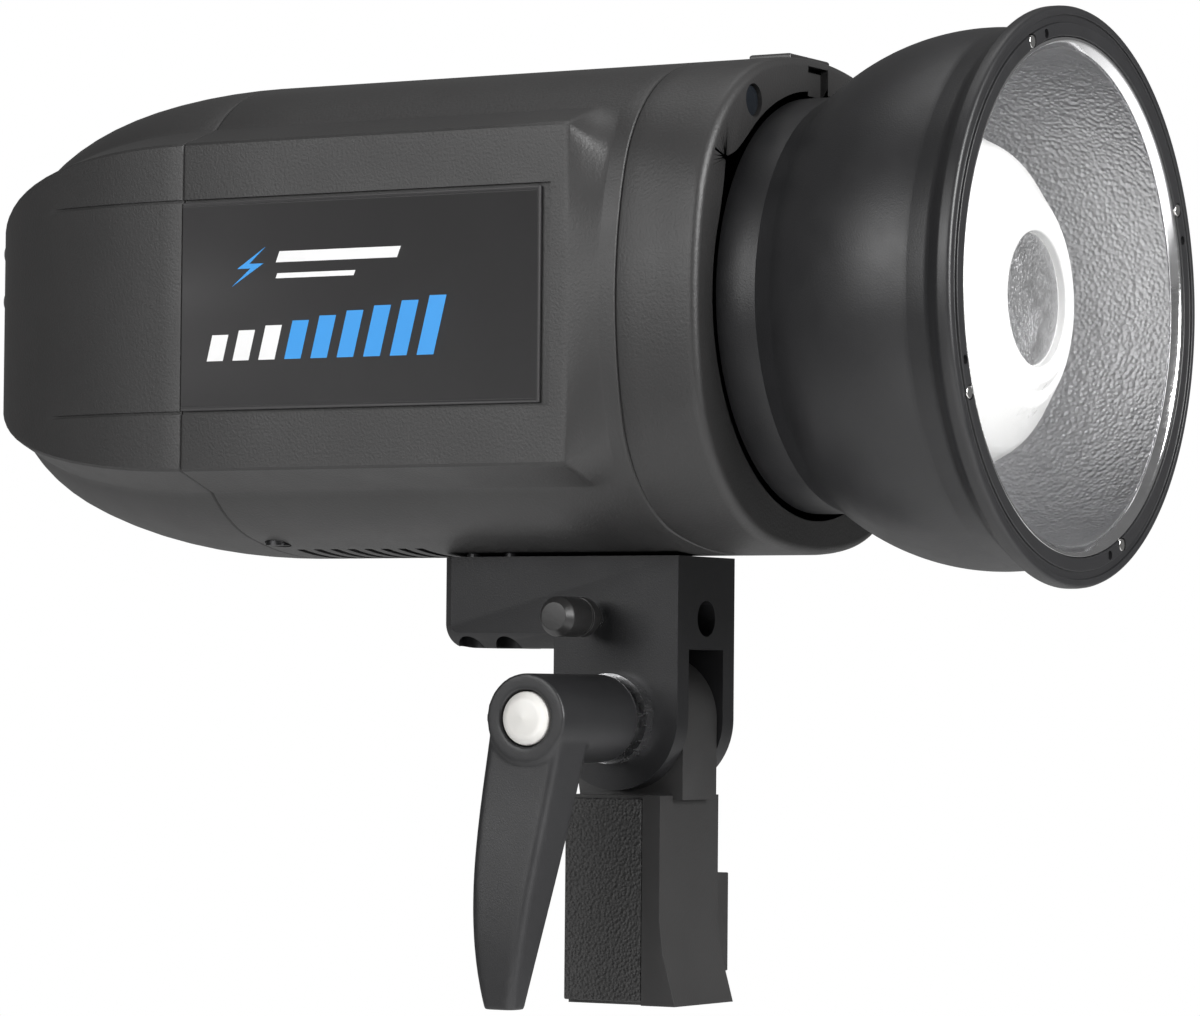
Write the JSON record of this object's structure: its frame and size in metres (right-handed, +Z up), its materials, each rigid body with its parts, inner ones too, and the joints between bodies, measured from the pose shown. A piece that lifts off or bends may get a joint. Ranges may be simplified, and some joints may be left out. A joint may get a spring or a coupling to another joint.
{
  "type": "monolight strobe",
  "caption": "Battery studio strobe with bowl reflector, frosted dome, tilting bracket, clamp lever and stand grip.",
  "frame": {"origin": "centre of the stand socket's mouth at the bottom of the grip", "axes": "+Z up along the socket, light leaves along -Y, +X to the battery side"},
  "size_m": [0.1334, 0.2873, 0.2317],
  "materials": {
    "casing_black": "fine texture, satin",
    "label_grey": "smooth satin sheet",
    "anodised_black": "bead blasted, black anodised",
    "reflector_black": "black powder coat",
    "hammered_silver": "fine hammered, bright",
    "steel": "turned",
    "dark_steel": "black oxide",
    "magnet_nickel": "nickel plated",
    "frosted_glass": "frosted",
    "clear_glass": "polished",
    "white_ceramic": "glazed",
    "grip_black": "satin",
    "grip_pad": "leather grain",
    "lever_black": "textured powder coat",
    "button_white": "satin",
    "control_black": "satin",
    "button_rubber": "matt",
    "screen_glass": "polished",
    "socket_brass": "turned",
    "circuit_board": "solder mask",
    "sleeve_blue": "shrink sleeve",
    "sink_aluminium": "extruded",
    "fan_black": "moulded",
    "battery_black": "fine texture",
    "cell_wrap": "shrink wrap",
    "led_yellow": "phosphor",
    "transformer_core": "ferrite and tape"
  },
  "bodies": {
    "grip": {"grip_core": "grip_black", "socket_bush": "socket_brass", "grip_pad_near": "grip_pad", "grip_pad_far": "grip_pad"},
    "stand_lock": {"stand_screw": "dark_steel", "stand_knob": "control_black"},
    "head": {"front_ring": "casing_black", "mid_shell": "casing_black", "rear_cover": "casing_black", "label_plate": "label_grey", "case_screws": "dark_steel", "bayonet_ring": "steel", "bulkhead": "sink_aluminium", "sensor_window": "screen_glass", "dome_base": "steel", "tube_socket": "white_ceramic", "flash_tube": "clear_glass", "modelling_led": "led_yellow", "heat_sink": "sink_aluminium", "capacitors": "sleeve_blue", "main_board": "circuit_board", "transformer": "transformer_core", "control_board": "circuit_board", "battery_bay": "fan_black", "battery_contacts": "socket_brass", "fan_frame": "fan_black", "control_bezel": "control_black", "screen_module": "circuit_board", "screen_window": "screen_glass", "port_sockets": "steel", "bracket": "anodised_black", "foot_screws": "dark_steel", "clamp_nut": "dark_steel", "clamp_washer": "steel"},
    "lock_slider": {"lock_slider": "control_black"},
    "reflector": {"reflector_bell": "reflector_black", "rim_magnets": "magnet_nickel", "reflector_bowl": "hammered_silver"},
    "dome": {"glass_dome": "frosted_glass", "eye_plate": "hammered_silver"},
    "battery": {"battery_case": "battery_black", "battery_lid": "battery_black", "battery_cells": "cell_wrap"},
    "battery_latch": {"battery_latch": "control_black"},
    "fan": {"fan_rotor": "fan_black"},
    "dial_stem": {"dial_stem": "steel"},
    "dial": {"dial_knob": "control_black"},
    "menu_button_upper_left": {"menu_button_upper_left": "button_rubber"},
    "menu_button_lower_left": {"menu_button_lower_left": "button_rubber"},
    "menu_button_upper_right": {"menu_button_upper_right": "button_rubber"},
    "menu_button_lower_right": {"menu_button_lower_right": "button_rubber"},
    "test_button": {"test_button": "button_rubber"},
    "power_button": {"power_button": "button_rubber"},
    "umbrella_lock": {"umbrella_screw": "steel", "umbrella_knob": "control_black"},
    "clamp_bolt": {"clamp_bolt": "steel", "lever_insert": "steel", "lever_screw": "steel"},
    "lever": {"clamp_lever": "lever_black"},
    "lever_button": {"lever_button": "button_white"}
  },
  "joints": [
    {"name": "head_tilt", "type": "hinge", "parent": "grip", "child": "head", "pos_m": [0, 0, 0.0676], "axis": [1, 0, 0], "range_deg": [-90, 90]},
    {"name": "stand_lock_turn", "type": "hinge", "parent": "grip", "child": "stand_lock", "pos_m": [0, 0, 0.018], "axis": [1, 0, 0], "continuous": true},
    {"name": "umbrella_lock_turn", "type": "hinge", "parent": "head", "child": "umbrella_lock", "pos_m": [0, 0.0056, 0.0915], "axis": [1, 0, 0], "continuous": true},
    {"name": "clamp_turn", "type": "hinge", "parent": "head", "child": "clamp_bolt", "pos_m": [0, 0, 0.0676], "axis": [1, 0, 0], "range_deg": [-25, 25]},
    {"name": "lever_index", "type": "hinge", "parent": "clamp_bolt", "child": "lever", "pos_m": [0, 0, 0.0676], "axis": [1, 0, 0], "range_deg": [-60, 60]},
    {"name": "lever_press", "type": "slide", "parent": "lever", "child": "lever_button", "axis": [1, 0, 0], "range_m": [0, 0.0025], "stiffness_N_per_m": 800, "springref_m": -0.0025},
    {"name": "reflector_twist", "type": "hinge", "parent": "head", "child": "reflector", "pos_m": [0, 0, 0.165], "axis": [0, -1, 0], "range_deg": [0, 18]},
    {"name": "dome_pull", "type": "slide", "parent": "head", "child": "dome", "axis": [0, -1, 0], "range_m": [0, 0.05]},
    {"name": "lock_slide", "type": "slide", "parent": "head", "child": "lock_slider", "axis": [0, 1, 0], "range_m": [0, 0.004], "stiffness_N_per_m": 400, "springref_m": -0.004},
    {"name": "battery_slide", "type": "slide", "parent": "head", "child": "battery", "axis": [1, 0, 0], "range_m": [0, 0.045]},
    {"name": "latch_slide", "type": "slide", "parent": "head", "child": "battery_latch", "axis": [0, 1, 0], "range_m": [0, 0.0035], "stiffness_N_per_m": 500, "springref_m": -0.0035},
    {"name": "fan_spin", "type": "hinge", "parent": "head", "child": "fan", "pos_m": [0, 0.1045, 0.165], "axis": [0, 1, 0], "continuous": true},
    {"name": "dial_press", "type": "slide", "parent": "head", "child": "dial_stem", "axis": [0, -1, 0], "range_m": [0, 0.0008], "stiffness_N_per_m": 1500, "springref_m": -0.0008},
    {"name": "dial_spin", "type": "hinge", "parent": "dial_stem", "child": "dial", "pos_m": [0, 0.165, 0.15], "axis": [0, 1, 0], "continuous": true},
    {"name": "menu_press_upper_left", "type": "slide", "parent": "head", "child": "menu_button_upper_left", "axis": [0, -1, 0], "range_m": [0, 0.0008], "stiffness_N_per_m": 1500, "springref_m": -0.0008},
    {"name": "menu_press_lower_left", "type": "slide", "parent": "head", "child": "menu_button_lower_left", "axis": [0, -1, 0], "range_m": [0, 0.0008], "stiffness_N_per_m": 1500, "springref_m": -0.0008},
    {"name": "menu_press_upper_right", "type": "slide", "parent": "head", "child": "menu_button_upper_right", "axis": [0, -1, 0], "range_m": [0, 0.0008], "stiffness_N_per_m": 1500, "springref_m": -0.0008},
    {"name": "menu_press_lower_right", "type": "slide", "parent": "head", "child": "menu_button_lower_right", "axis": [0, -1, 0], "range_m": [0, 0.0008], "stiffness_N_per_m": 1500, "springref_m": -0.0008},
    {"name": "test_press", "type": "slide", "parent": "head", "child": "test_button", "axis": [0, -1, 0], "range_m": [0, 0.0008], "stiffness_N_per_m": 1500, "springref_m": -0.0008},
    {"name": "power_press", "type": "slide", "parent": "head", "child": "power_button", "axis": [0, -1, 0], "range_m": [0, 0.0008], "stiffness_N_per_m": 1500, "springref_m": -0.0008}
  ]
}
